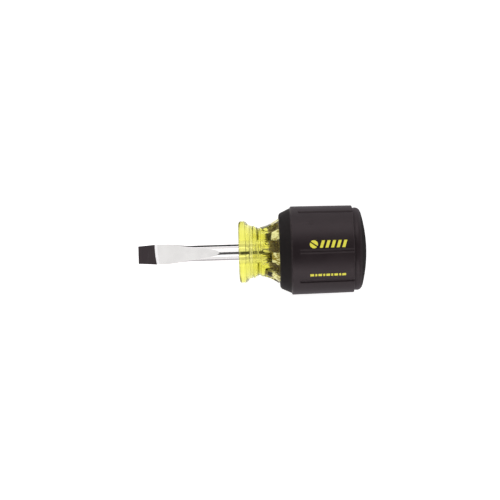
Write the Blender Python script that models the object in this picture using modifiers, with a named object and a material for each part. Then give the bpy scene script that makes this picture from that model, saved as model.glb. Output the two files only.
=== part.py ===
"""Stubby flat-blade screwdriver with a cushion grip, in three separate pieces.

The tool's axis is world X. The origin is the centre of the tip's end face, the handle lies
towards +X, and the blade's broad faces look up and down, along +Z and -Z. Stations are
distances from the tip's end face along the axis.
"""

import math

import bmesh
import bpy

MM = 0.001
GAP = 0.3 * MM  # clearance between pieces that touch on the real tool

# Blade
SHANK_R = 3.175 * MM
TIP_HALF_WIDTH = 3.35 * MM
FLARE_HALF_WIDTH = 3.92 * MM
FLARE_START = 8.0 * MM  # the tip widens evenly up to here
FLARE_END = 11.0 * MM  # and narrows to the shank after this
SHANK_START = 20.0 * MM
TIP_HALF_THICKNESS = 0.5 * MM
TIP_FLAT_END = 7.0 * MM  # the broad faces are plane up to here
TIP_TAPER = 0.0514  # rise of a broad face for each unit of length
FLAT_END = 31.0 * MM  # the broad faces run out of the round shank here
FLAT_CURVE_RISE = 1.1 * MM
TANG_END = 79.0 * MM
TANG_CHAMFER = 0.8 * MM

# Anchor flange of the tang, which keeps the blade from turning in the handle
ANCHOR_START = 61.0 * MM
ANCHOR_END = 71.0 * MM
ANCHOR_RUN_OUT = 2.5 * MM
ANCHOR_HALF_WIDTH = 5.2 * MM
ANCHOR_HALF_THICKNESS = 1.0 * MM

# Handle core
CORE_FRONT = 38.5 * MM
RIM_R = 11.85 * MM
RIM_ROUND = 1.0 * MM
RIM_FALL_START = 40.8 * MM  # behind this the rim falls to the step in an S
STEP_R = 10.1 * MM
STEP_START = 43.3 * MM
STEP_GROOVE = 43.85 * MM
STEP_BACK = 44.9 * MM
STEP_GROOVE_DEPTH = 0.25 * MM
WAIST_R = 9.05 * MM
WAIST = 46.3 * MM
FLUTED_START = 46.9 * MM
FLUTED_R = 9.5 * MM
CORE_R = 12.3 * MM
CORE_FULL = 53.6 * MM  # the flare reaches the core's full radius here
CORE_END = 83.2 * MM
CORE_CHAMFER = 1.5 * MM
FLARE_POWER = 1.65

FLUTES = 8
FLUTE_CUTTER_R = 2.5 * MM
FLUTE_CUTTER_REACH = 11.45 * MM  # distance of the cutter's own axis from the tool's axis
FLUTE_CUTTER_START = 46.5 * MM
FLUTE_CUTTER_END = 53.6 * MM
FLUTE_CLOCKING = math.radians(-9.0)

# Cushion grip
GRIP_FRONT = 54.0 * MM
GRIP_MOUTH_R = 13.3 * MM
MOUTH_ROUND = 1.5 * MM
SHOULDER_R = 16.3 * MM  # the front shoulder rises to this at the band
BAND_FRONT = 58.5 * MM
RING_END = 61.1 * MM
BAND_END = 82.1 * MM
BUTT_R = 15.83 * MM
BUTT_ROUND = 2.0 * MM
BUTT_ROUND_START = 83.3 * MM
DOME_EDGE_R = 14.2 * MM
DOME_R = 52.7 * MM
TOOL_END = 87.3 * MM

# The band: a plain ring in front, then panels with a narrow groove between each two.
# One panel is wide and the others share the rest of the turn equally.
BAND_R = 16.93 * MM
PANELS = 8
WIDE_PANEL = math.radians(60.0)
FIRST_GROOVE = math.radians(2.2)  # the wide panel ends here, measured from +Z towards -Y
GROOVE_DEPTH = 0.55 * MM
GROOVE_HALF_ANGLE = math.radians(1.9)
NARROW_PANEL_FACETS = 4
WIDE_PANEL_FACETS = 6

BLADE_SIDES = 40
CORE_SIDES = 56
GRIP_SIDES = 64


def clear_scene():
    for thing in list(bpy.data.objects):
        bpy.data.objects.remove(thing, do_unlink=True)


def new_collection(name):
    collection = bpy.data.collections.new(name)
    bpy.context.scene.collection.children.link(collection)
    return collection


def new_material(name, colour, roughness, metallic=0.0, transmission=0.0):
    material = bpy.data.materials.new(name)
    material.use_nodes = True
    shader = material.node_tree.nodes["Principled BSDF"]
    shader.inputs["Base Color"].default_value = (*colour, 1.0)
    shader.inputs["Roughness"].default_value = roughness
    shader.inputs["Metallic"].default_value = metallic
    shader.inputs["Transmission Weight"].default_value = transmission
    material.diffuse_color = (*colour, 1.0)
    return material


def arc(station, radius, size, start, end, steps):
    """Points (station, radius) round a centre, from one angle to another, in degrees."""
    points = []
    for i in range(steps + 1):
        angle = math.radians(start + (end - start) * i / steps)
        points.append((station + size * math.cos(angle), radius + size * math.sin(angle)))
    return points


def turned(name, outline, sides, collection):
    """A solid of revolution. The outline runs along the outer side from the butt to the tip."""
    mesh = bpy.data.meshes.new(name)
    profile = bmesh.new()
    verts = [profile.verts.new((radius, 0.0, station)) for station, radius in outline]
    for a, b in zip(verts, verts[1:]):
        profile.edges.new((a, b))
    profile.to_mesh(mesh)
    profile.free()
    solid = bpy.data.objects.new(name, mesh)
    solid.rotation_euler = (0.0, math.pi / 2, 0.0)
    collection.objects.link(solid)
    screw = solid.modifiers.new("Turn", "SCREW")
    screw.axis = "Z"
    screw.angle = 2 * math.pi
    screw.steps = sides
    screw.render_steps = sides
    screw.use_merge_vertices = True
    screw.merge_threshold = 0.00001
    screw.use_smooth_shade = True
    return solid


def prism(name, outline, half_thickness, collection):
    """A flat outline in the local XY plane, given thickness both ways along local Z."""
    curve = bpy.data.curves.new(name, "CURVE")
    curve.dimensions = "2D"
    curve.fill_mode = "BOTH"
    curve.extrude = half_thickness
    spline = curve.splines.new("POLY")
    spline.points.add(len(outline) - 1)
    for point, (x, y) in zip(spline.points, outline):
        point.co = (x, y, 0.0, 1.0)
    spline.use_cyclic_u = True
    drawn = bpy.data.objects.new(name + "_outline", curve)
    collection.objects.link(drawn)
    graph = bpy.context.evaluated_depsgraph_get()
    mesh = bpy.data.meshes.new_from_object(drawn.evaluated_get(graph))
    welded = bmesh.new()
    welded.from_mesh(mesh)
    bmesh.ops.remove_doubles(welded, verts=welded.verts, dist=0.000001)
    bmesh.ops.recalc_face_normals(welded, faces=welded.faces)
    welded.to_mesh(mesh)
    welded.free()
    solid = bpy.data.objects.new(name, mesh)
    collection.objects.link(solid)
    bpy.data.objects.remove(drawn, do_unlink=True)
    return solid


def hide(cutter):
    cutter.hide_render = True
    cutter.display_type = "WIRE"


def combine(target, other, operation):
    hide(other)
    step = target.modifiers.new(other.name, "BOOLEAN")
    step.operation = operation
    step.solver = "EXACT"
    step.object = other


def finish(solid, material):
    """Gives every face the piece's material and smooth shading with sharp edges kept."""
    graph = bpy.context.evaluated_depsgraph_get()
    mesh = bpy.data.meshes.new_from_object(solid.evaluated_get(graph))
    solid.modifiers.clear()
    mesh.name = solid.name
    mesh.materials.clear()
    mesh.materials.append(material)
    for face in mesh.polygons:
        face.material_index = 0
    mesh.shade_smooth()
    mesh.set_sharp_from_angle(angle=math.radians(30.0))
    solid.data = mesh


def blade_half_width(station):
    """Half the width of the blade across its broad faces, seen from above."""
    if station <= FLARE_START:
        share = station / FLARE_START
        return TIP_HALF_WIDTH + (FLARE_HALF_WIDTH - TIP_HALF_WIDTH) * share
    if station <= FLARE_END:
        return FLARE_HALF_WIDTH
    if station >= SHANK_START:
        return SHANK_R
    share = (station - FLARE_END) / (SHANK_START - FLARE_END)
    return SHANK_R + (FLARE_HALF_WIDTH - SHANK_R) * (1 + math.cos(math.pi * share)) / 2


def blade_half_thickness(station):
    """Height of a broad face over the axis: plane at the tip, then a hollow taper."""
    height = TIP_HALF_THICKNESS + TIP_TAPER * station
    if station > TIP_FLAT_END:
        share = (station - TIP_FLAT_END) / (FLAT_END - TIP_FLAT_END)
        height += FLAT_CURVE_RISE * share**1.5
    return height


def stations(start, end, steps):
    return [start + (end - start) * i / steps for i in range(steps + 1)]


def make_blade(parts, cutters, material):
    outline = [(TANG_END, 0.0), (TANG_END, SHANK_R - TANG_CHAMFER)]
    outline += [(TANG_END - TANG_CHAMFER, SHANK_R), (FLAT_END, SHANK_R)]
    widths = stations(SHANK_START, FLARE_END, 8) + [FLARE_START, 0.0]
    outline += [(station, blade_half_width(station)) for station in widths]
    outline.append((0.0, 0.0))
    blade = turned("blade", outline, BLADE_SIDES, parts)

    clear = 2 * FLARE_HALF_WIDTH
    over_end = FLAT_END + 2 * MM
    face = [(-MM, blade_half_thickness(-MM))]
    face += [(s, blade_half_thickness(s)) for s in stations(TIP_FLAT_END, over_end, 14)]
    face += [(over_end, clear), (-MM, clear)]
    for name, turn in (("upper_flat", math.pi / 2), ("lower_flat", -math.pi / 2)):
        cutter = prism(name, face, clear, cutters)
        cutter.rotation_euler = (turn, 0.0, 0.0)
        combine(blade, cutter, "DIFFERENCE")

    anchor = prism("anchor_blank", anchor_outline(0.0), ANCHOR_HALF_THICKNESS, cutters)
    combine(blade, anchor, "UNION")
    bpy.context.view_layer.update()
    finish(blade, material)
    return blade


def anchor_outline(clearance):
    """The anchor flange seen from above, grown by a clearance all round."""
    half = ANCHOR_HALF_WIDTH + clearance
    start = ANCHOR_START - clearance
    end = ANCHOR_END + clearance
    root = SHANK_R / 2
    upper = [(start, root), (start + ANCHOR_RUN_OUT, half), (end - ANCHOR_RUN_OUT, half), (end, root)]
    return upper + [(x, -y) for x, y in reversed(upper)]


def core_outline(grown, bore):
    """The handle core's outline from butt to front, grown outwards, with a blind bore or none."""
    full = CORE_R + grown
    end = CORE_END + grown
    outline = [(end, 0.0), (end, full - CORE_CHAMFER), (end - CORE_CHAMFER, full)]
    if not bore:
        return outline + [(GRIP_FRONT - MM, full), (GRIP_FRONT - MM, 0.0)]
    outline.append((CORE_FULL, full))
    for station in stations(CORE_FULL, FLUTED_START, 9)[1:]:
        share = (station - FLUTED_START) / (CORE_FULL - FLUTED_START)
        outline.append((station, FLUTED_R + (CORE_R - FLUTED_R) * share**FLARE_POWER))
    outline += [(WAIST + 0.2 * MM, WAIST_R), (WAIST - 0.2 * MM, WAIST_R)]
    outline += [(STEP_BACK + 0.2 * MM, STEP_R - 0.5 * MM), (STEP_BACK, STEP_R - 0.1 * MM)]
    outline.append((STEP_GROOVE + 0.25 * MM, STEP_R - 0.05 * MM))
    outline.append((STEP_GROOVE, STEP_R - STEP_GROOVE_DEPTH))
    outline.append((STEP_GROOVE - 0.25 * MM, STEP_R))
    for station in stations(STEP_START, RIM_FALL_START, 7):
        share = (station - RIM_FALL_START) / (STEP_START - RIM_FALL_START)
        outline.append((station, STEP_R + (RIM_R - STEP_R) * (1 + math.cos(math.pi * share)) / 2))
    outline += arc(CORE_FRONT + RIM_ROUND, RIM_R - RIM_ROUND, RIM_ROUND, 90, 180, 4)
    bore_r = SHANK_R + GAP
    return outline + [(CORE_FRONT, bore_r), (TANG_END + GAP, bore_r), (TANG_END + GAP, 0.0)]


def make_core(parts, cutters, material):
    core = turned("handle_core", core_outline(0.0, True), CORE_SIDES, parts)
    pocket_half = ANCHOR_HALF_THICKNESS + GAP
    pocket = prism("anchor_pocket", anchor_outline(GAP), pocket_half, cutters)
    combine(core, pocket, "DIFFERENCE")

    cutter_end = arc(FLUTE_CUTTER_END - FLUTE_CUTTER_R, 0.0, FLUTE_CUTTER_R, 0, 90, 5)
    cutter_start = arc(FLUTE_CUTTER_START + FLUTE_CUTTER_R, 0.0, FLUTE_CUTTER_R, 90, 180, 5)
    for i in range(FLUTES):
        angle = FLUTE_CLOCKING + 2 * math.pi * i / FLUTES
        flute = turned(f"flute_{i + 1}", cutter_end + cutter_start, 20, cutters)
        across = -FLUTE_CUTTER_REACH * math.sin(angle)
        up = FLUTE_CUTTER_REACH * math.cos(angle)
        flute.location = (0.0, across, up)
        combine(core, flute, "DIFFERENCE")
    bpy.context.view_layer.update()
    finish(core, material)
    return core


def band_point(radius, angle):
    """A point of the band's outline, in the axes of a prism that is turned to lie along X."""
    return (-radius * math.cos(angle), -radius * math.sin(angle))


def band_outline(groove_depth):
    """The band's outline, seen along the axis."""
    narrow = (2 * math.pi - WIDE_PANEL) / (PANELS - 1)
    points = []
    for i in range(PANELS):
        wide = i == PANELS - 1
        start = FIRST_GROOVE + narrow * i
        width = WIDE_PANEL if wide else narrow
        facets = WIDE_PANEL_FACETS if wide else NARROW_PANEL_FACETS
        points.append(band_point(BAND_R - groove_depth, start))
        edges = stations(start + GROOVE_HALF_ANGLE, start + width - GROOVE_HALF_ANGLE, facets)
        points += [band_point(BAND_R, angle) for angle in edges]
    return points


def make_grip(parts, cutters, material):
    dome_centre = TOOL_END - DOME_R
    dome_half = math.degrees(math.asin(DOME_EDGE_R / DOME_R))
    outline = arc(dome_centre, 0.0, DOME_R, 0, dome_half, 6)
    corner = arc(BUTT_ROUND_START, BUTT_R - BUTT_ROUND, BUTT_ROUND, 14, 90, 5)
    outline += corner
    outline += [(BAND_END + 0.6 * MM, BUTT_R), (BAND_END + 0.4 * MM, BUTT_R - 0.4 * MM)]
    outline += [(BAND_END, BUTT_R - 0.4 * MM), (BAND_FRONT + MM, BUTT_R - 0.4 * MM)]
    outline += [(BAND_FRONT - 0.1 * MM, SHOULDER_R)]
    mouth = arc(GRIP_FRONT + MOUTH_ROUND, GRIP_MOUTH_R, MOUTH_ROUND, 115, 180, 4)
    outline += mouth
    outline.append((GRIP_FRONT, 0.0))
    grip = turned("cushion_grip", outline, GRIP_SIDES, parts)

    for name, start, end, depth in (
        ("band_ring", BAND_FRONT, RING_END, 0.0),
        ("band_panels", BAND_FRONT + MM, BAND_END, GROOVE_DEPTH),
    ):
        band = prism(name, band_outline(depth), (end - start) / 2, cutters)
        band.rotation_euler = (0.0, math.pi / 2, 0.0)
        band.location = ((start + end) / 2, 0.0, 0.0)
        combine(grip, band, "UNION")
    cavity = turned("grip_cavity", core_outline(GAP, False), CORE_SIDES, cutters)
    combine(grip, cavity, "DIFFERENCE")
    bpy.context.view_layer.update()
    finish(grip, material)
    return grip


def main():
    clear_scene()
    parts = new_collection("stubby_screwdriver")
    cutters = new_collection("cutters")
    steel = new_material("plated_steel", (0.82, 0.81, 0.80), 0.12, metallic=1.0)
    acetate = new_material("yellow_acetate", (0.80, 0.76, 0.12), 0.08, transmission=0.8)
    vinyl = new_material("black_vinyl", (0.028, 0.022, 0.024), 0.42)
    make_blade(parts, cutters, steel)
    make_core(parts, cutters, acetate)
    make_grip(parts, cutters, vinyl)


main()
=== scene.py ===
"""Looks of the stubby cushion-grip screwdriver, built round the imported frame.

Every length is in metres. Stations are places along the tool's axis, world X, which starts at
the tip. Angles round the axis are measured from straight up (+Z) towards -Y.
"""

import math

import bmesh
import bpy
import numpy as np
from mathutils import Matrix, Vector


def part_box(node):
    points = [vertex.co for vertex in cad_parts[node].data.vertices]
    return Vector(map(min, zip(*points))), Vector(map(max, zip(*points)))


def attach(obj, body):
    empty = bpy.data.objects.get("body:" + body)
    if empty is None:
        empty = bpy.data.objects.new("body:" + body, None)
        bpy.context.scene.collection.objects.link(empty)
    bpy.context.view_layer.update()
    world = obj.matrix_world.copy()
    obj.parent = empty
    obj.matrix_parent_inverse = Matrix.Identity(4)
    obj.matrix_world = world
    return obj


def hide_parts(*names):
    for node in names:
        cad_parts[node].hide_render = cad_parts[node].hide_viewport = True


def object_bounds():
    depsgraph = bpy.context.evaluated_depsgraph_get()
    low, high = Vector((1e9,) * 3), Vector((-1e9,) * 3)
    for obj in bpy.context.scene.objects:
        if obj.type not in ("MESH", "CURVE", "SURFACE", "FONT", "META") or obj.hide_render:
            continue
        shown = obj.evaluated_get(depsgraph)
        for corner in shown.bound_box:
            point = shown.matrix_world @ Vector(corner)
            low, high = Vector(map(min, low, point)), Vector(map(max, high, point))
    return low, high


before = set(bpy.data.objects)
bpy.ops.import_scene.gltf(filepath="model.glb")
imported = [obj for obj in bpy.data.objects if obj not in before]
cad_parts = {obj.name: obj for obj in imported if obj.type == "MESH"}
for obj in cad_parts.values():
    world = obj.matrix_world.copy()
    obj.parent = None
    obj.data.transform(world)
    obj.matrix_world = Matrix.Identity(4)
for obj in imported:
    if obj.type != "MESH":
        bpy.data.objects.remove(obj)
CAD_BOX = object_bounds()
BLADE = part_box("blade")
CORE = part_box("handle_core")
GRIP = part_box("cushion_grip")

MM = 0.001
TAU = 2 * math.pi
TINY = 1e-6
SHARP_ANGLE = math.radians(40.0)  # edges sharper than this aren't shaded smooth

# Blade, as in the CAD
SHANK_R = 3.175 * MM
TIP_HALF_WIDTH = 3.35 * MM
FLARE_HALF_WIDTH = 3.92 * MM
FLARE_START = 8.0 * MM
FLARE_END = 11.0 * MM
SHANK_START = 20.0 * MM
TIP_HALF_THICKNESS = 0.5 * MM
TIP_FLAT_END = 7.0 * MM
TIP_TAPER = 0.0514
FLAT_END = 31.0 * MM
FLAT_CURVE_RISE = 1.1 * MM
BLADE_EDGE = 0.08 * MM  # softness of the edge between a broad face and the side
TIP_EDGE = 0.05 * MM  # rounding of the edge round the tip's end face
TANG_CHAMFER = 0.8 * MM
ANCHOR = (61.0 * MM, 71.0 * MM)
ANCHOR_RUN_OUT = 2.5 * MM
ANCHOR_HALF_WIDTH = 5.2 * MM
ANCHOR_HALF_THICKNESS = 1.0 * MM
BLADE_COLUMNS = 256
BLADE_STEP = 0.35 * MM  # distance between rings on the part in view

# Handle core
CORE_FRONT = CORE[0][0]
CORE_BACK = CORE[1][0]
RIM_R = 11.85 * MM
RIM_ROUND = 1.0 * MM
RIM_FALL_START = 40.8 * MM  # behind this the rim falls to the step in an S
STEP_START = 43.3 * MM
STEP_R = 10.1 * MM
STEP_GROOVE = 43.85 * MM
STEP_GROOVE_DEPTH = 0.25 * MM
STEP_BACK = 44.75 * MM
NECK_DROP = 0.5 * MM  # the neck's surface is this much lower behind the step
NECK_GROOVE = 45.25 * MM
NECK_GROOVE_DEPTH = 0.2 * MM
NECK_GROOVE_HALF_WIDTH = 0.34 * MM
WAIST_START = 46.0 * MM
WAIST_R = 9.05 * MM
FLUTED_START = 46.9 * MM
FLUTED_R = 9.5 * MM
CORE_R = 12.3 * MM
CORE_FULL = 53.6 * MM
FLARE_POWER = 1.65
FLUTES = 8
FLUTE_R = 2.5 * MM
FLUTE_REACH = 11.45 * MM
FLUTE_START = 46.5 * MM
FLUTE_END = 53.6 * MM
FLUTE_CLOCKING = math.radians(-9.0)
FLUTE_EDGE = 0.55 * MM
CORE_COLUMNS = 512
CORE_CHAMFER = 1.5 * MM
BORE_OVERLAP = 0.01 * MM  # the bore closes on the blade, as moulded plastic does
BORE_MOUTH = 0.12 * MM  # and is this much wider at the front face

# Cushion grip
GRIP_FRONT = GRIP[0][0]
GRIP_BACK = GRIP[1][0]
MOUTH_R = 13.3 * MM
MOUTH_ROUND = 1.5 * MM
SHOULDER_R = 16.3 * MM
BAND_FRONT = 58.5 * MM
RING_END = 61.1 * MM
BAND_END = 82.1 * MM
BAND_EDGE = 0.28 * MM
CREASE_DEPTH = 0.15 * MM  # of the crease between the band and the butt
BUTT_R = 15.83 * MM
BUTT_ROUND = 2.0 * MM
BUTT_ROUND_START = 83.3 * MM
DOME_EDGE_R = 14.2 * MM
DOME_R = 52.7 * MM
BAND_R = 16.92 * MM
BAND_TAPER = 0.25 * MM  # the panels stand this much lower at the butt end
PANELS = 8
WIDE_PANEL = math.radians(60.0)  # one panel is wide, the others are equal
FIRST_GROOVE = math.radians(2.2)  # the wide panel ends here
GROOVE_DEPTH = 0.5 * MM
GROOVE_FLOOR = 0.16 * MM  # half width of a groove's floor
GROOVE_MOUTH = 0.95 * MM  # half width of a groove where it meets the panels
SLEEVE_GAP = 0.03 * MM
GROOVE_COLUMNS = 12  # close columns on each side of a groove
GROOVE_REACH = (1.0 * MM, 1.4 * MM)  # how far they go, and where one more stands
COLUMN_STEP = math.radians(2.2)

# Marks
MARK_LIFT = 0.035 * MM
MARK_SINK = 0.03 * MM
MARK_START = 65.2 * MM
UPPER_MARK_ANGLE = math.radians(-7.2)
DISC_R = 1.55 * MM
DISC_HALF_SLOT = 0.24 * MM
DISC_LEAN = 35  # degrees from the tool's axis to the slot
BARS = 5
BARS_START = 4.6 * MM  # from where the mark starts
BAR_SPACING = 2.1 * MM
BAR_WIDTH = 1.15 * MM
BAR_HALF_HEIGHT = 1.4 * MM
BAR_SLANT = -0.9 * MM
LOWER_MARK_ANGLE = math.radians(34.3)
DASHES = 5
DASH_SPACING = 3.0 * MM
DASH_LENGTH = 1.4 * MM
DASH_HALF_HEIGHT = 0.5 * MM
DOT_SPAN = (1.85 * MM, 2.55 * MM)  # from where the dash before it starts
MOULD_MARK_STATION = 66.2 * MM
MOULD_MARK_ANGLE = math.radians(-38.0)
MOULD_MARK_LIFT = 0.04 * MM
MOULD_MARK_RING = (0.85 * MM, 1.05 * MM)  # inner and outer radius

# Looks
OXIDE_EDGE = 6.5 * MM  # the black oxide ends here at the middle of a broad face
OXIDE_EDGE_LEAN = -0.09
OXIDE_EDGE_BOW = 16.4  # per metre
OXIDE_BLACKS = ((0.021, 0.0115, 0.0145), (0.033, 0.0195, 0.024))
OXIDE_WORN = (0.16, 0.15, 0.15)
BRIGHT_BAND_COLOUR = (0.97, 0.95, 0.96)  # a brighter line of colour just behind where the black finish ends
PLATE_GREYS = ((0.80, 0.785, 0.775), (0.86, 0.845, 0.835))
ACETATE_TINT = (0.90, 0.895, 0.08)
ACETATE_DENSITY = 92.0
ACETATE_ROUGHNESS = 0.02
ACETATE_SHEEN = (1.0, 0.95, 0.30)
ACETATE_CLEAR = (0.985, 0.975, 0.93)
ACETATE_NECK = (0.965, 0.95, 0.50)
ACETATE_FLOW = (0.80, 0.765, 0.20)  # the lines that the melt leaves along the neck
NECK_STATIONS = (43.2 * MM, 44.4 * MM)  # the neck's surface is yellower than the rim's from here
RIB_STATIONS = (50.9 * MM, 51.2 * MM)  # the ribs between the flutes lose their clearness to painted light over this run
# painted light: cream on the ribs stands in for light seen through them, streaked with painted
# shade
RIB_PAINTED_LIGHT_SHARE = 0.92
RIB_PAINTED_SHADE_STREAK = (0.34, 0.26, 0.03)
RIB_PAINTED_LIGHT = (1.0, 0.965, 0.42)
RIB_UNEVEN = 1.5  # how far noise moves the ribs' sides, where the wave between flutes is 1
RIB_RAGGED = 1.6 * MM  # and their front ends
FLUTE_STATIONS = (49.4 * MM, 50.4 * MM)  # and the flutes take painted shade over this one
# painted shade: brown on the flutes stands in for the dark seen through them
FLUTE_PAINTED_SHADE_SHARE = 0.5
FLUTE_PAINTED_SHADE = (0.155, 0.112, 0.045)
VINYL_BLACKS = ((0.0135, 0.0092, 0.0106), (0.0190, 0.0134, 0.0153))
VINYL_MARKED = (0.042, 0.033, 0.036)
VINYL_ROUGHNESS = 0.47
VINYL_SPECULAR = 0.26
VINYL_SHEEN = (1.0, 0.84, 0.885)
VINYL_PAINTED_SHADE = (0.0035, 0.0042, 0.0032)  # painted shade: the shoulder and the butt end are painted darker, and they are rougher
PAINTED_SHADE_SHARE = 0.85
DULL_ROUGHNESS = 0.26
SHOULDER_DULL_AND_PAINTED_SHADE = (57.9 * MM, 58.4 * MM)  # the shoulder's rougher surface and painted shade give way to the band's here
BUTT_DULL_AND_PAINTED_SHADE = (84.5 * MM, 85.3 * MM)  # and the butt's rougher surface and painted shade begin here
INK_YELLOWS = ((0.80, 0.74, 0.045), (0.90, 0.84, 0.075))
INK_WORN = (0.22, 0.19, 0.03)

# Studio
TABLE_GLOW = 0.62
FLOOR_HALF_SIZE = 3.0
FLOOR_CLEARANCE = 0.02 * MM
REFLECTION_CARDS = (  # name, two corners, and how much it glows
    ("dark_card", (14 * MM, 19 * MM), (41 * MM, 150 * MM), 0.0),  # beside the shank
    ("grey_card", (14 * MM, -150 * MM), (41 * MM, -22 * MM), 0.52),
    ("far_card", (57 * MM, 19 * MM), (150 * MM, 150 * MM), 0.72),  # beside the grip
    ("near_card", (57 * MM, -150 * MM), (150 * MM, -19 * MM), 0.72),
    ("butt_card", (92 * MM, -19 * MM), (200 * MM, 19 * MM), 0.05),  # behind it
)
CARD_BLACKS = ((0.004, 0.004, 0.004), (0.01, 0.01, 0.01))
CARD_GLOW = (1.0, 0.95, 1.0)
TABLE_WHITES = ((0.88, 0.88, 0.88), (0.91, 0.91, 0.91))
PANEL_HEIGHT = 1.0
PANEL_WATTS = math.pi  # watts a square metre for a radiance of 1
SLOT = (-0.53, 0.09)  # the panels leave this strip of the ceiling dark, from -Y to +Y
SLOT_START = -0.075  # and only from here on, past where the blade's broad faces look
PANEL_REACH = (0.75, 1.45)  # half the panels' length, and how far they go to either side
TOP_LIGHT = 1.15
FRONT_LIGHT = 0.85
GRIP_LIGHT = 2.5
GRIP_PANEL = (0.82, 3.2)  # how far to either side the panels over the grip begin and end
WALL_LIGHT = 1.0
CEILING_LIGHT = 0.10
WALL_TOP = 0.45
CEILING_START = 0.88
END_WALL_LIGHT = 0.5  # the walls ahead of the tip and behind the butt, as a share
END_WALL = (0.45, 0.85)
WORLD_WHITE = (1.0, 0.985, 0.99)
CAMERA_LENS = 122.0
CAMERA_HEIGHT = 0.65
CAMERA_OVER = (42.81 * MM, 0.694 * MM)
CAMERA_ROLL = math.radians(-1.735)


# ---------------------------------------------------------------- mesh tools

def smooth(low, high, value):
    """0 below low, 1 above high, with an even S between."""
    t = np.clip((value - low) / (high - low), 0.0, 1.0)
    return t * t * (3 - 2 * t)


def soft_min(a, b, size):
    """The lower of two heights, with a fillet of about the given size where they cross."""
    h = np.clip(0.5 + 0.5 * (b - a) / size, 0.0, 1.0)
    return b * (1 - h) + a * h - size * h * (1 - h)


def ring(station, radius, angles):
    """One ring of points round the axis. Station and radius are numbers or one value a column."""
    radius = np.broadcast_to(radius, angles.shape)
    station = np.broadcast_to(station, angles.shape)
    return np.stack([station, -radius * np.sin(angles), radius * np.cos(angles)], axis=1)


def add_object(name, data):
    """A new object in the scene."""
    thing = bpy.data.objects.new(name, data)
    bpy.context.scene.collection.objects.link(thing)
    return thing


def shade(mesh):
    mesh.shade_smooth()
    mesh.set_sharp_from_angle(angle=SHARP_ANGLE)


def skin(name, rings, start, end):
    """A closed skin through rings of equal length, with a pole at either end."""
    count = len(rings[0])
    faces = []
    for i in range(len(rings) - 1):
        a, b = i * count, (i + 1) * count
        for j in range(count):
            k = (j + 1) % count
            faces.append((a + j, a + k, b + k, b + j))
    last = (len(rings) - 1) * count
    front_pole = last + count
    back_pole = front_pole + 1
    faces += [(front_pole, (j + 1) % count, j) for j in range(count)]
    faces += [(last + j, last + (j + 1) % count, back_pole) for j in range(count)]
    verts = np.concatenate([*rings, np.array([(start, 0.0, 0.0), (end, 0.0, 0.0)])])
    mesh = bpy.data.meshes.new(name)
    mesh.from_pydata(verts.tolist(), [], faces)
    mesh.validate()
    shade(mesh)
    return add_object(name, mesh)


def arc(station, radius, size, start, end, steps):
    """Points (station, radius) round a centre, from one angle to another, in degrees."""
    turns = np.radians(np.linspace(start, end, steps + 1))
    return [(station + size * math.cos(t), radius + size * math.sin(t)) for t in turns]


def line(first, last, steps):
    """Points from first to last, leaving out first."""
    return [
        (first[0] + (last[0] - first[0]) * i / steps, first[1] + (last[1] - first[1]) * i / steps)
        for i in range(1, steps + 1)
    ]


# ---------------------------------------------------------------- blade

def blade_half_width(station):
    if station <= FLARE_START:
        return TIP_HALF_WIDTH + (FLARE_HALF_WIDTH - TIP_HALF_WIDTH) * station / FLARE_START
    if station <= FLARE_END:
        return FLARE_HALF_WIDTH
    if station >= SHANK_START:
        return SHANK_R
    share = (station - FLARE_END) / (SHANK_START - FLARE_END)
    return SHANK_R + (FLARE_HALF_WIDTH - SHANK_R) * (1 + math.cos(math.pi * share)) / 2


def blade_half_thickness(station):
    height = TIP_HALF_THICKNESS + TIP_TAPER * station
    if station > TIP_FLAT_END:
        share = (station - TIP_FLAT_END) / (FLAT_END - TIP_FLAT_END)
        height += FLAT_CURVE_RISE * share**1.5
    return height


def anchor_radius(station, angles):
    """Distance from the axis to the anchor flange's surface, or 0 beyond its ends."""
    inside = min(station - ANCHOR[0], ANCHOR[1] - station)
    if inside < 0:
        return np.zeros_like(angles)
    half = SHANK_R / 2 + (ANCHOR_HALF_WIDTH - SHANK_R / 2) * min(1.0, inside / ANCHOR_RUN_OUT)
    across = half / np.maximum(np.abs(np.sin(angles)), TINY)
    up = ANCHOR_HALF_THICKNESS / np.maximum(np.abs(np.cos(angles)), TINY)
    return np.minimum(across, up)


def blade_radius(station, angles):
    """The round blade cut by its two broad faces, and the anchor flange that stands out of it."""
    round_part = np.full_like(angles, blade_half_width(station))
    flat = blade_half_thickness(station) / np.maximum(np.abs(np.cos(angles)), TINY)
    cut = soft_min(round_part, flat, BLADE_EDGE)
    return np.maximum(cut, anchor_radius(station, angles))


def make_blade():
    angles = np.linspace(0, TAU, BLADE_COLUMNS, endpoint=False)
    rings = []
    for share in (0.35, 0.7, 0.9):
        rings.append(ring(0.0, (blade_radius(0.0, angles) - TIP_EDGE) * share, angles))
    for turn in np.linspace(0, math.pi / 2, 4):
        station = TIP_EDGE * (1 - math.cos(turn))
        inset = TIP_EDGE * (1 - math.sin(turn))
        rings.append(ring(station, blade_radius(station, angles) - inset, angles))
    tang_end = BLADE[1][0]
    stations = list(np.arange(BLADE_STEP, CORE_FRONT, BLADE_STEP))
    stations += list(np.arange(CORE_FRONT, ANCHOR[0] - 0.2 * MM, 1.5 * MM))
    stations += list(np.linspace(ANCHOR[0] - 0.1 * MM, ANCHOR[1] + 0.1 * MM, 52))
    stations += list(np.linspace(ANCHOR[1] + MM, tang_end - TANG_CHAMFER, 8))
    for station in stations:
        rings.append(ring(station, blade_radius(station, angles), angles))
    rings.append(ring(tang_end, SHANK_R - TANG_CHAMFER, angles))
    return skin("steel_blade", rings, start=0.0, end=tang_end)


# ---------------------------------------------------------------- handle core

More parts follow.
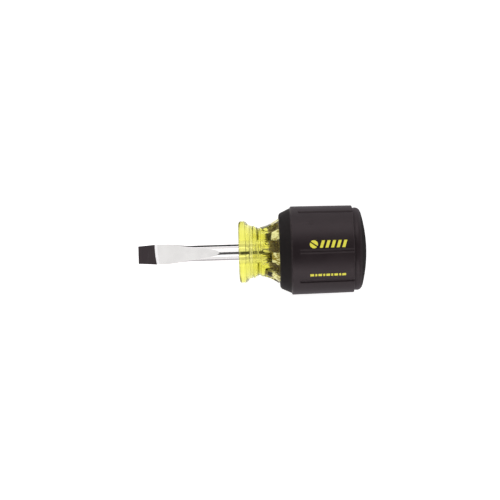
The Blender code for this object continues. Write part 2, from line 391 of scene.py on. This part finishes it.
def flute_surface(station, angles):
    """Distance from the axis to the flutes' hollow surface, large where there is none."""
    first, last = FLUTE_START + FLUTE_R, FLUTE_END - FLUTE_R
    along = max(first - station, station - last, 0.0)
    if along >= FLUTE_R:
        return np.full_like(angles, 1.0)
    size = math.sqrt(FLUTE_R**2 - along**2)
    pitch = TAU / FLUTES
    off = (angles - FLUTE_CLOCKING + pitch / 2) % pitch - pitch / 2
    aside = FLUTE_REACH * np.sin(off)
    under = np.maximum(size**2 - aside**2, 0.0)
    depth = FLUTE_REACH * np.cos(off) - np.sqrt(under)
    return np.where(np.abs(aside) < size, depth, 1.0)


def neck_groove(centre, level, depth):
    """Points down into one groove of the neck and up again."""
    points = []
    for off in np.linspace(-0.36, 0.36, 11) * MM:
        dip = depth * (1 - smooth(0.0, NECK_GROOVE_HALF_WIDTH, abs(off)))
        points.append((centre + off, level - dip))
    return points


def core_profile():
    """The visible outline from the rim to the grip, as (station, radius)."""
    points = arc(CORE_FRONT + RIM_ROUND, RIM_R - RIM_ROUND, RIM_ROUND, 180, 90, 8)
    points += line(points[-1], (RIM_FALL_START, RIM_R), 5)
    for share in np.linspace(0.0, 1.0, 17)[1:]:
        station = RIM_FALL_START + (STEP_START - RIM_FALL_START) * share
        points.append((station, STEP_R + (RIM_R - STEP_R) * (1 + math.cos(math.pi * share)) / 2))
    points.append((STEP_START + 0.1 * MM, STEP_R))
    points += neck_groove(STEP_GROOVE, STEP_R, STEP_GROOVE_DEPTH)
    points += line(points[-1], (STEP_BACK, STEP_R - 0.08 * MM), 3)
    points.append((STEP_BACK + 0.09 * MM, STEP_R - 0.3 * MM))
    points += neck_groove(NECK_GROOVE, STEP_R - NECK_DROP, NECK_GROOVE_DEPTH)
    points += line(points[-1], (WAIST_START, WAIST_R + 0.05 * MM), 4)
    points += line(points[-1], (FLUTED_START - 0.25 * MM, WAIST_R), 3)
    points.append((FLUTED_START - 0.12 * MM, WAIST_R + 0.06 * MM))
    points.append((FLUTED_START - 0.06 * MM, FLUTED_R - 0.12 * MM))
    for station in np.linspace(FLUTED_START, CORE_FULL, 64):
        share = (station - FLUTED_START) / (CORE_FULL - FLUTED_START)
        points.append((station, FLUTED_R + (CORE_R - FLUTED_R) * share**FLARE_POWER))
    return points


def make_core():
    """The core: its bore from the back to the front face, then its outside from front to back."""
    angles = np.linspace(0, TAU, CORE_COLUMNS, endpoint=False)
    bore = SHANK_R - BORE_OVERLAP
    rings = []
    inner = list(np.linspace(BLADE[1][0], ANCHOR[1] + 0.1 * MM, 5))
    inner += list(np.linspace(ANCHOR[1], ANCHOR[0], 44))
    inner += list(np.linspace(ANCHOR[0] - 0.1 * MM, CORE_FRONT + 0.2 * MM, 24))
    for station in inner:
        anchor = anchor_radius(station, angles)
        rings.append(ring(station, np.maximum(bore, anchor - BORE_OVERLAP), angles))
    rings.append(ring(CORE_FRONT, bore + BORE_MOUTH, angles))
    for radius in np.linspace(bore + 0.5 * MM, RIM_R - RIM_ROUND - 0.3 * MM, 6):
        rings.append(ring(CORE_FRONT, radius, angles))
    for station, radius in core_profile():
        level = np.full_like(angles, radius)
        cut = soft_min(level, flute_surface(station, angles), FLUTE_EDGE)
        rings.append(ring(station, np.minimum(cut, level), angles))
    for station in np.linspace(CORE_FULL + 0.4 * MM, CORE_BACK - CORE_CHAMFER, 12):
        rings.append(ring(station, CORE_R, angles))
    rings.append(ring(CORE_BACK, CORE_R - CORE_CHAMFER, angles))
    rings.append(ring(CORE_BACK, CORE_R / 2, angles))
    return skin("acetate_core", rings, start=BLADE[1][0], end=CORE_BACK)


# ---------------------------------------------------------------- cushion grip

def groove_angles():
    """Where the grooves stand: a wide panel lies before the first, equal ones between the rest."""
    narrow = (TAU - WIDE_PANEL) / (PANELS - 1)
    return FIRST_GROOVE + narrow * np.arange(PANELS)


def grip_angles():
    """Columns round the grip, close together at each groove."""
    near = np.append(np.linspace(0.0, GROOVE_REACH[0], GROOVE_COLUMNS), GROOVE_REACH[1]) / BAND_R
    grooves = list(groove_angles()) + [FIRST_GROOVE + TAU]
    columns = []
    for start, end in zip(grooves, grooves[1:]):
        width = end - start
        between = np.linspace(near[-1], width - near[-1], round(width / COLUMN_STEP))[1:-1]
        columns += [start + near, start + between, end - near[:0:-1]]
    return np.concatenate(columns)


def groove_depth(angles):
    """How deep the nearest groove is at each column."""
    off = (angles[:, None] - groove_angles()[None, :] + math.pi) % TAU - math.pi
    aside = np.abs(off).min(axis=1) * BAND_R
    return GROOVE_DEPTH * (1 - smooth(GROOVE_FLOOR, GROOVE_MOUTH, aside))


def band_radius(station, angles):
    """The raised band: a ring in front, then panels with a groove between each two."""
    groove_share = smooth(RING_END + 0.1 * MM, RING_END + 0.7 * MM, station)
    drop = BAND_TAPER * np.clip((station - RING_END) / (BAND_END - RING_END), 0.0, 1.0)
    return BAND_R - drop - groove_depth(angles) * groove_share


def make_grip():
    """The grip: its cavity from the back to the mouth, then its outside from front to back."""
    angles = grip_angles()
    cavity = CORE_R + SLEEVE_GAP
    cavity_end = CORE_BACK + SLEEVE_GAP
    rings = [ring(cavity_end, 5 * MM, angles), ring(cavity_end, cavity - CORE_CHAMFER, angles)]
    for station in np.linspace(cavity_end - CORE_CHAMFER, GRIP_FRONT + 0.3 * MM, 14):
        rings.append(ring(station, cavity, angles))
    lip = [(GRIP_FRONT + 0.08 * MM, cavity + 0.06 * MM), (GRIP_FRONT, cavity + 0.3 * MM)]
    outline = lip + arc(GRIP_FRONT + MOUTH_ROUND, MOUTH_R, MOUTH_ROUND, 180, 118, 9)
    outline += line(outline[-1], (BAND_FRONT - 0.25 * MM, SHOULDER_R - 0.05 * MM), 10)
    outline.append((BAND_FRONT - 0.06 * MM, SHOULDER_R + 0.03 * MM))
    for station, radius in outline:
        rings.append(ring(station, radius, angles))

    foot = band_radius(BAND_FRONT, angles) - BAND_EDGE
    rings.append(ring(BAND_FRONT, (foot + SHOULDER_R) / 2, angles))
    for t in np.radians(np.linspace(0, 90, 7)):
        station = BAND_FRONT + BAND_EDGE * (1 - math.cos(t))
        rings.append(ring(station, foot + BAND_EDGE * math.sin(t), angles))
    stations = list(np.linspace(BAND_FRONT + 0.5 * MM, RING_END - 0.2 * MM, 6))
    stations += list(np.linspace(RING_END - 0.1 * MM, RING_END + 0.8 * MM, 13))
    stations += list(np.linspace(RING_END + 1.5 * MM, BAND_END - BAND_EDGE, 34))
    for station in stations:
        rings.append(ring(station, band_radius(station, angles), angles))
    top = band_radius(BAND_END, angles) - BAND_EDGE
    for t in np.radians(np.linspace(15, 90, 6)):
        station = BAND_END - BAND_EDGE * (1 - math.sin(t))
        rings.append(ring(station, top + BAND_EDGE * math.cos(t), angles))

    crease = BUTT_R - CREASE_DEPTH
    back = [(BAND_END + 0.03 * MM, crease + 0.15 * MM), (BAND_END + 0.15 * MM, crease)]
    back += [(BAND_END + 0.32 * MM, crease + 0.04 * MM), (BAND_END + 0.5 * MM, BUTT_R - 0.1 * MM)]
    back += [(BAND_END + 0.7 * MM, BUTT_R - 0.01 * MM)]
    back += arc(BUTT_ROUND_START, BUTT_R - BUTT_ROUND, BUTT_ROUND, 90, 14, 14)
    dome_half = math.degrees(math.asin((DOME_EDGE_R - 0.15 * MM) / DOME_R))
    back += arc(GRIP_BACK - DOME_R, 0.0, DOME_R, dome_half, 0.8, 30)
    for station, radius in back:
        rings.append(ring(station, radius, angles))
    return skin("vinyl_grip", rings, start=cavity_end, end=GRIP_BACK)


# ---------------------------------------------------------------- marks on the grip

def bar(first, last, low, high, slant=0.0):
    """A grid of (station, distance round the grip) points for one bar, leaning by slant."""
    rows = []
    for v in np.linspace(0.0, 1.0, 4):
        around = low + (high - low) * v
        rows.append([(s + slant * v, around) for s in np.linspace(first, last, 4)])
    return rows


def bow(centre, inner, outer, start, end):
    """A grid of points for part of a ring, between two angles in degrees."""
    rows = []
    for size in np.linspace(inner, outer, 3):
        rows.append(arc(centre[0], centre[1], size, start, end, 24))
    return rows


def half_disc(centre, size, half_slot, degrees):
    """The part of a disc on one side of a slot that leans by an angle."""
    cos, sin = math.cos(math.radians(degrees)), math.sin(math.radians(degrees))
    rows = []
    for v in np.linspace(half_slot, 0.97 * size, 9):
        reach = math.sqrt(size**2 - v**2)
        run = np.linspace(-reach, reach, 9)
        rows.append([(centre[0] + u * cos - v * sin, centre[1] + u * sin + v * cos) for u in run])
    return rows


def print_on_grip(name, middle, patches, lift):
    """Thin closed pads that follow the grip. Patches are grids round the angle called middle."""
    verts, faces = [], []
    for rows in patches:
        across = len(rows[0])
        count = across * len(rows)
        base = len(verts)
        flat = [point for row in rows for point in row]
        for height in (lift, -MARK_SINK):
            for station, around in flat:
                angle = np.array([middle + around / BAND_R])
                radius = band_radius(station, angle) + height
                verts.append(tuple(ring(station, radius, angle)[0]))
        for i in range(len(rows) - 1):
            for j in range(across - 1):
                a = base + i * across + j
                quad = (a, a + 1, a + across + 1, a + across)
                faces.append(quad)
                faces.append(tuple(k + count for k in reversed(quad)))
        rim = list(range(across)) + [i * across + across - 1 for i in range(1, len(rows))]
        rim += [(len(rows) - 1) * across + j for j in range(across - 2, -1, -1)]
        rim += [i * across for i in range(len(rows) - 2, 0, -1)]
        for a, b in zip(rim, rim[1:] + rim[:1]):
            faces.append((base + a, base + a + count, base + b + count, base + b))
    mesh = bpy.data.meshes.new(name)
    mesh.from_pydata(verts, [], faces)
    mesh.validate()
    built = bmesh.new()
    built.from_mesh(mesh)
    bmesh.ops.recalc_face_normals(built, faces=built.faces)
    built.to_mesh(mesh)
    built.free()
    shade(mesh)
    return add_object(name, mesh)


def upper_mark():
    """A slotted screw head seen from its end, then a row of leaning bars."""
    head = (MARK_START + DISC_R, 0.0)
    turns = (DISC_LEAN, DISC_LEAN + 180)
    patches = [half_disc(head, DISC_R, DISC_HALF_SLOT, turn) for turn in turns]
    for i in range(BARS):
        first = MARK_START + BARS_START + BAR_SPACING * i
        patches.append(bar(first, first + BAR_WIDTH, -BAR_HALF_HEIGHT, BAR_HALF_HEIGHT, BAR_SLANT))
    return print_on_grip("grip_mark_bars", UPPER_MARK_ANGLE, patches, MARK_LIFT)


def lower_mark():
    """A row of dashes with a square dot between each two."""
    patches = []
    for i in range(DASHES):
        first = MARK_START + DASH_SPACING * i
        spans = [(first, first + DASH_LENGTH)]
        if i < DASHES - 1:
            spans.append((first + DOT_SPAN[0], first + DOT_SPAN[1]))
        patches += [bar(*span, -DASH_HALF_HEIGHT, DASH_HALF_HEIGHT) for span in spans]
    return print_on_grip("grip_mark_scale", LOWER_MARK_ANGLE, patches, MARK_LIFT)


def mould_mark():
    """The faint ring that an ejector pin leaves in the band."""
    centre = (MOULD_MARK_STATION, 0.0)
    patches = [bow(centre, *MOULD_MARK_RING, *turns) for turns in ((2, 178), (182, 358))]
    return print_on_grip("grip_mould_mark", MOULD_MARK_ANGLE, patches, MOULD_MARK_LIFT)


# ---------------------------------------------------------------- material tools

class Nodes:
    """A short way to write a node tree."""

    def __init__(self, name):
        self.material = bpy.data.materials.new(name)
        self.material.use_nodes = True
        self.tree = self.material.node_tree
        self.shader = self.tree.nodes["Principled BSDF"]
        self.output = self.tree.nodes["Material Output"]
        place = self.add("ShaderNodeTexCoord").outputs["Object"]
        self.place = place
        split = self.add("ShaderNodeSeparateXYZ", Vector=place)
        self.x, self.y, self.z = split.outputs["X"], split.outputs["Y"], split.outputs["Z"]

    def add(self, kind, **inputs):
        node = self.tree.nodes.new(kind)
        for name, value in inputs.items():
            self.put(node.inputs[name.replace("_", " ")], value)
        return node

    def put(self, socket, value):
        if isinstance(value, bpy.types.NodeSocket):
            self.tree.links.new(value, socket)
        else:
            socket.default_value = value

    def maths(self, operation, a, b=0.0, c=0.0):
        node = self.tree.nodes.new("ShaderNodeMath")
        node.operation = operation
        for socket, value in zip(node.inputs, (a, b, c)):
            self.put(socket, value)
        return node.outputs[0]

    def step(self, value, low, high, out_low=0.0, out_high=1.0):
        """A smooth step from out_low to out_high as value goes from low to high."""
        node = self.tree.nodes.new("ShaderNodeMapRange")
        node.interpolation_type = "SMOOTHSTEP"
        for name, number in (("Value", value), ("From Min", low), ("From Max", high),
                             ("To Min", out_low), ("To Max", out_high)):
            self.put(node.inputs[name], number)
        return node.outputs[0]

    def stretched(self, factors):
        """The place, scaled by a factor on each axis."""
        node = self.add("ShaderNodeMapping", Vector=self.place)
        node.inputs["Scale"].default_value = factors
        return node.outputs[0]

    def noise(self, scale, detail=3.0, roughness=0.5, stretch=None):
        vector = self.place if stretch is None else self.stretched(stretch)
        node = self.add("ShaderNodeTexNoise", Vector=vector, Scale=scale, Detail=detail,
                        Roughness=roughness)
        return node.outputs["Fac"]

    def blend(self, share, a, b):
        """Colour a where share is 0, colour b where it is 1."""
        node = self.tree.nodes.new("ShaderNodeMix")
        node.data_type = "RGBA"
        self.put(node.inputs["Factor"], share)
        for socket, colour in ((node.inputs[6], a), (node.inputs[7], b)):
            self.put(socket, (*colour, 1.0) if isinstance(colour, tuple) else colour)
        return node.outputs[2]

    def wobble(self, noise, size):
        """Noise turned into a signed offset of the given size from end to end."""
        return self.maths("MULTIPLY", self.maths("SUBTRACT", noise, 0.5), size)

    def bump(self, height, strength, distance, after=None):
        node = self.add("ShaderNodeBump", Height=height, Strength=strength, Distance=distance)
        if after is not None:
            self.put(node.inputs["Normal"], after)
        return node.outputs[0]

    def surface(self, **inputs):
        for name, value in inputs.items():
            if isinstance(value, tuple) and len(value) == 3:
                value = (*value, 1.0)
            self.put(self.shader.inputs[name.replace("_", " ")], value)


def steel_material():
    """Nickel-chrome plate with polishing lines, and a black oxide tip with a crisp edge."""
    n = Nodes("plated_steel_look")
    edge = n.maths("ADD", n.maths("MULTIPLY", n.y, OXIDE_EDGE_LEAN), OXIDE_EDGE)
    edge = n.maths("ADD", edge, n.maths("MULTIPLY", n.maths("MULTIPLY", n.y, n.y), OXIDE_EDGE_BOW))
    station = n.maths("ADD", n.x, n.wobble(n.noise(1500, 2.0), 0.12 * MM))
    behind = n.maths("SUBTRACT", station, edge)
    oxide = n.step(behind, -0.03 * MM, 0.03 * MM, 1.0, 0.0)
    # brighter colour in a band just behind where the black finish ends
    bright_band = n.step(behind, 0.7 * MM, 1.3 * MM, 1.0, 0.0)

    lines = n.noise(900, 3.0, 0.6, (0.05, 1.0, 1.0))
    cloud = n.noise(160, 3.0, 0.55)
    plate = n.blend(n.step(cloud, 0.35, 0.7), *PLATE_GREYS)
    plate = n.blend(bright_band, plate, BRIGHT_BAND_COLOUR)
    rubbed = n.step(n.noise(420, 4.0, 0.65, (1.0, 0.3, 1.0)), 0.60, 0.78)
    near_end = n.step(n.x, 0.1 * MM, 1.3 * MM, 1.0, 0.15)
    worn = n.maths("MULTIPLY", rubbed, near_end)
    black = n.blend(n.noise(700, 3.0), *OXIDE_BLACKS)
    black = n.blend(n.maths("MULTIPLY", worn, 0.5), black, OXIDE_WORN)
    clouded = n.step(cloud, 0.3, 0.7, 0.05, 0.10)
    plate_rough = n.maths("ADD", n.maths("MULTIPLY", lines, 0.07), clouded)
    oxide_rough = n.maths("ADD", n.maths("MULTIPLY", n.noise(900, 3.0), 0.22), 0.34)
    rough = n.maths("ADD", n.maths("MULTIPLY", oxide, oxide_rough),
                    n.maths("MULTIPLY", n.maths("SUBTRACT", 1.0, oxide), plate_rough))
    metal = n.maths("SUBTRACT", 1.0, n.maths("MULTIPLY", oxide, 0.85))
    ground = n.noise(1300, 2.0, 0.5, (1.0, 0.06, 1.0))
    grain = n.maths("ADD", n.maths("MULTIPLY", ground, n.maths("MULTIPLY", oxide, 2.2)),
                    n.maths("MULTIPLY", lines, 0.25))
    n.surface(Base_Color=n.blend(oxide, plate, black), Metallic=metal, Roughness=rough,
              Normal=n.bump(grain, 0.22, 0.01 * MM))
    return n.material


def acetate_material():
    """Clear yellow acetate: tinted by depth, with painted light and streaks of painted shade on
    the ribs, and painted shade on the flutes at the grip.
    """
    n = Nodes("yellow_acetate_look")
    turn = n.maths("ARCTAN2", n.maths("MULTIPLY", n.y, -1.0), n.z)
    turn = n.maths("MULTIPLY", n.maths("SUBTRACT", turn, FLUTE_CLOCKING), FLUTES)
    uneven = n.wobble(n.noise(650, 2.0, 0.6, (0.25, 1.0, 1.0)), RIB_UNEVEN)
    wave = n.maths("ADD", n.maths("COSINE", turn), uneven)  # 1 along a flute, -1 along a rib
    station = n.maths("ADD", n.x, n.wobble(n.noise(700, 3.0, 0.6), RIB_RAGGED))
    rib = n.maths("MULTIPLY", n.step(wave, -0.05, -0.22), n.step(station, *RIB_STATIONS))
    flute = n.maths("MULTIPLY", n.step(wave, -0.15, 0.15), n.step(station, *FLUTE_STATIONS))

    neck = n.step(n.x, *NECK_STATIONS)
    flow = n.step(n.noise(430, 3.0, 0.55, (0.1, 1.0, 1.0)), 0.50, 0.60)
    clear = n.blend(neck, ACETATE_CLEAR, ACETATE_NECK)
    clear = n.blend(n.maths("MULTIPLY", flow, neck), clear, ACETATE_FLOW)
    # painted shade on the flutes
    tint = n.blend(flute, clear, FLUTE_PAINTED_SHADE)
    # painted light on the ribs, streaked with painted shade
    streaks = n.noise(950, 3.0, 0.6, (0.16, 1.0, 1.0))
    rib_painted_light_and_shade = n.blend(n.step(streaks, 0.42, 0.53), RIB_PAINTED_SHADE_STREAK, RIB_PAINTED_LIGHT)
    tint = n.blend(n.step(rib, 0.0, 0.22), tint, rib_painted_light_and_shade)
    # the ribs and the flutes lose clearness so that their painted light and painted shade show
    cloud = n.maths("MAXIMUM", n.maths("MULTIPLY", rib, RIB_PAINTED_LIGHT_SHARE),
                    n.maths("MULTIPLY", flute, FLUTE_PAINTED_SHADE_SHARE))

    wavy = n.noise(260, 2.0, 0.45)
    fine = n.noise(2600, 3.0, 0.6)
    height = n.maths("ADD", n.maths("MULTIPLY", wavy, 2.0), n.maths("MULTIPLY", fine, 0.12))
    handled = n.noise(520, 4.0, 0.6)
    rough = n.step(handled, 0.45, 0.75, ACETATE_ROUGHNESS, 3.5 * ACETATE_ROUGHNESS)
    n.surface(Base_Color=tint, Transmission_Weight=n.maths("SUBTRACT", 1.0, cloud), IOR=1.47,
              Specular_Tint=ACETATE_SHEEN, Roughness=rough,
              Normal=n.bump(height, 0.18, 0.02 * MM))
    depth = n.tree.nodes.new("ShaderNodeVolumeAbsorption")
    depth.inputs["Color"].default_value = (*ACETATE_TINT, 1.0)
    depth.inputs["Density"].default_value = ACETATE_DENSITY
    n.tree.links.new(depth.outputs[0], n.output.inputs["Volume"])
    return n.material


def vinyl_material():
    """Black plasticised vinyl: faint warm tint, moulded grain, rougher scuffs and rubbed edges,
    and painted shade on the shoulder and the butt end.
    """
    n = Nodes("black_vinyl_look")
    cloud = n.noise(110, 4.0, 0.55)
    scuff = n.step(n.noise(240, 5.0, 0.68, (0.35, 1.0, 1.0)), 0.60, 0.78)
    front = n.maths("ABSOLUTE", n.maths("SUBTRACT", n.x, BAND_FRONT + 0.15 * MM))
    back = n.maths("ABSOLUTE", n.maths("SUBTRACT", n.x, BAND_END - 0.15 * MM))
    rim = n.step(n.maths("MINIMUM", front, back), 0.1 * MM, 0.5 * MM, 1.0, 0.0)
    rubbed = n.maths("MULTIPLY", rim, n.step(n.noise(600, 4.0, 0.6), 0.4, 0.65))
    marked = n.maths("MAXIMUM", n.maths("MULTIPLY", scuff, 0.35), n.maths("MULTIPLY", rubbed, 0.6))
    # the shoulder and the butt end are rougher and carry painted shade
    dull_and_painted_shade = n.maths("MAXIMUM", n.step(n.x, *SHOULDER_DULL_AND_PAINTED_SHADE, 1.0, 0.0), n.step(n.x, *BUTT_DULL_AND_PAINTED_SHADE))

    colour = n.blend(n.step(cloud, 0.3, 0.7), *VINYL_BLACKS)
    colour = n.blend(marked, colour, VINYL_MARKED)
    # painted shade darkens the shoulder and the butt end
    colour = n.blend(n.maths("MULTIPLY", dull_and_painted_shade, PAINTED_SHADE_SHARE), colour, VINYL_PAINTED_SHADE)
    rough = n.step(cloud, 0.25, 0.75, VINYL_ROUGHNESS - 0.04, VINYL_ROUGHNESS + 0.05)
    rough = n.maths("ADD", rough, n.maths("MULTIPLY", marked, 0.16))
    rough = n.maths("ADD", rough, n.maths("MULTIPLY", dull_and_painted_shade, DULL_ROUGHNESS))
    grain = n.noise(5200, 3.0, 0.6)
    orange_peel = n.noise(900, 2.0, 0.5)
    normal = n.bump(grain, 0.35, 0.02 * MM)
    normal = n.bump(orange_peel, 0.2, 0.05 * MM, after=normal)
    n.surface(Base_Color=colour, Roughness=rough, Specular_IOR_Level=VINYL_SPECULAR,
              Specular_Tint=VINYL_SHEEN, Normal=normal)
    return n.material


def ink_material():
    """Yellow pad-print ink, a little thin and rubbed in places."""
    n = Nodes("yellow_ink_look")
    thin = n.step(n.noise(1500, 4.0, 0.65), 0.60, 0.80)
    body = n.blend(n.noise(500, 3.0), *INK_YELLOWS)
    colour = n.blend(n.maths("MULTIPLY", thin, 0.7), body, INK_WORN)
    n.surface(Base_Color=colour, Roughness=n.step(n.noise(1100, 3.0), 0.3, 0.7, 0.38, 0.56),
              Normal=n.bump(n.noise(4200, 3.0, 0.6), 0.3, 0.01 * MM))
    return n.material


def floor_material():
    """A pale translucent table, softly lit from below."""
    n = Nodes("pale_table")
    cloud = n.noise(7, 3.0, 0.5)
    n.surface(Base_Color=n.blend(cloud, *TABLE_WHITES),
              Roughness=n.step(cloud, 0.3, 0.7, 0.75, 0.85), Specular_IOR_Level=0.2,
              Emission_Color=(1.0, 1.0, 1.0), Emission_Strength=TABLE_GLOW)
    return n.material


# ---------------------------------------------------------------- floor, light and camera

def make_floor():
    mesh = bpy.data.meshes.new("table")
    built = bmesh.new()
    bmesh.ops.create_grid(built, x_segments=40, y_segments=40, size=FLOOR_HALF_SIZE)
    built.to_mesh(mesh)
    built.free()
    mesh.materials.append(floor_material())
    floor = add_object("table", mesh)
    floor.location = (0.0, 0.0, CAD_BOX[0][2] - FLOOR_CLEARANCE)
    return floor


def make_panel(name, low, high, radiance, receivers):
    """A soft panel that faces down and lights the receivers. Low and high are its corners."""
    data = bpy.data.lights.new(name, "AREA")
    data.shape = "RECTANGLE"
    data.size, data.size_y = high[0] - low[0], high[1] - low[1]
    data.energy = radiance * data.size * data.size_y * PANEL_WATTS
    panel = add_object(name, data)
    panel.location = ((low[0] + high[0]) / 2, (low[1] + high[1]) / 2, PANEL_HEIGHT)
    panel.visible_camera = False
    group = bpy.data.collections.new(name + "_receivers")
    for thing in receivers:
        group.objects.link(thing)
    panel.light_linking.receiver_collection = group


def make_card(name, low, high, glow):
    """A dim card on the table that only reflections see, so that the sides mirror less white."""
    look = Nodes(name + "_look")
    look.surface(Base_Color=look.blend(look.noise(300), *CARD_BLACKS),
                 Emission_Color=CARD_GLOW, Emission_Strength=glow,
                 Roughness=0.9, Specular_IOR_Level=0.0)
    level = CAD_BOX[0][2] + FLOOR_CLEARANCE
    corners = ((low[0], low[1]), (high[0], low[1]), (high[0], high[1]), (low[0], high[1]))
    mesh = bpy.data.meshes.new(name)
    mesh.from_pydata([(x, y, level) for x, y in corners], [], [(0, 1, 2, 3)])
    mesh.materials.append(look.material)
    card = add_object(name, mesh)
    card.visible_camera = False
    card.visible_diffuse = False
    card.visible_transmission = False
    card.visible_shadow = False
    return card


def make_world():
    """White walls beside the tool, dimmer ones at its ends, and a dark ceiling."""
    world = bpy.data.worlds.new("studio")
    world.use_nodes = True
    bpy.context.scene.world = world
    tree = world.node_tree
    place = tree.nodes.new("ShaderNodeTexCoord")
    split = tree.nodes.new("ShaderNodeSeparateXYZ")
    tree.links.new(place.outputs["Generated"], split.inputs[0])
    ahead = tree.nodes.new("ShaderNodeMath")
    ahead.operation = "ABSOLUTE"
    tree.links.new(split.outputs["X"], ahead.inputs[0])
    product = None
    for socket, low, high, below, above in (
        (split.outputs["Z"], WALL_TOP, CEILING_START, WALL_LIGHT, CEILING_LIGHT),
        (ahead.outputs[0], *END_WALL, 1.0, END_WALL_LIGHT),
    ):
        fade = tree.nodes.new("ShaderNodeMapRange")
        fade.interpolation_type = "SMOOTHSTEP"
        tree.links.new(socket, fade.inputs["Value"])
        for name, number in (("From Min", low), ("From Max", high),
                             ("To Min", below), ("To Max", above)):
            fade.inputs[name].default_value = number
        if product is None:
            product = fade.outputs[0]
            continue
        times = tree.nodes.new("ShaderNodeMath")
        times.operation = "MULTIPLY"
        tree.links.new(product, times.inputs[0])
        tree.links.new(fade.outputs[0], times.inputs[1])
        product = times.outputs[0]
    tree.links.new(product, tree.nodes["Background"].inputs["Strength"])
    tree.nodes["Background"].inputs["Color"].default_value = (*WORLD_WHITE, 1.0)


def make_camera():
    data = bpy.data.cameras.new("camera")
    data.sensor_width = 36.0
    data.lens = CAMERA_LENS
    camera = add_object("camera", data)
    camera.location = (*CAMERA_OVER, CAMERA_HEIGHT)
    camera.rotation_euler = (0.0, 0.0, CAMERA_ROLL)
    bpy.context.scene.camera = camera


blade = make_blade()
core = make_core()
grip = make_grip()
bars = upper_mark()
scale = lower_mark()
pin = mould_mark()

vinyl = vinyl_material()
ink = ink_material()
for piece, look in ((blade, steel_material()), (core, acetate_material()), (grip, vinyl),
                    (bars, ink), (scale, ink), (pin, vinyl)):
    piece.data.materials.append(look)
    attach(piece, "root")

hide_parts("blade")
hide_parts("handle_core")
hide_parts("cushion_grip")

floor = make_floor()
length, reach = PANEL_REACH
lit = (floor, blade, core, bars, scale)
make_panel("front_panel", (-length, -reach), (SLOT_START, reach), FRONT_LIGHT, lit)
make_panel("left_panel", (SLOT_START, SLOT[1]), (length, reach), TOP_LIGHT, lit)
make_panel("right_panel", (SLOT_START, -reach), (length, SLOT[0]), TOP_LIGHT, lit)
for name, side in (("grip_left_panel", 1), ("grip_right_panel", -1)):
    near, far = sorted(side * edge for edge in GRIP_PANEL)
    make_panel(name, (-length, near), (length, far), GRIP_LIGHT, (grip, pin))
for card in REFLECTION_CARDS:
    make_card(*card)
make_world()
make_camera()
bpy.context.scene.view_settings.view_transform = "Standard"
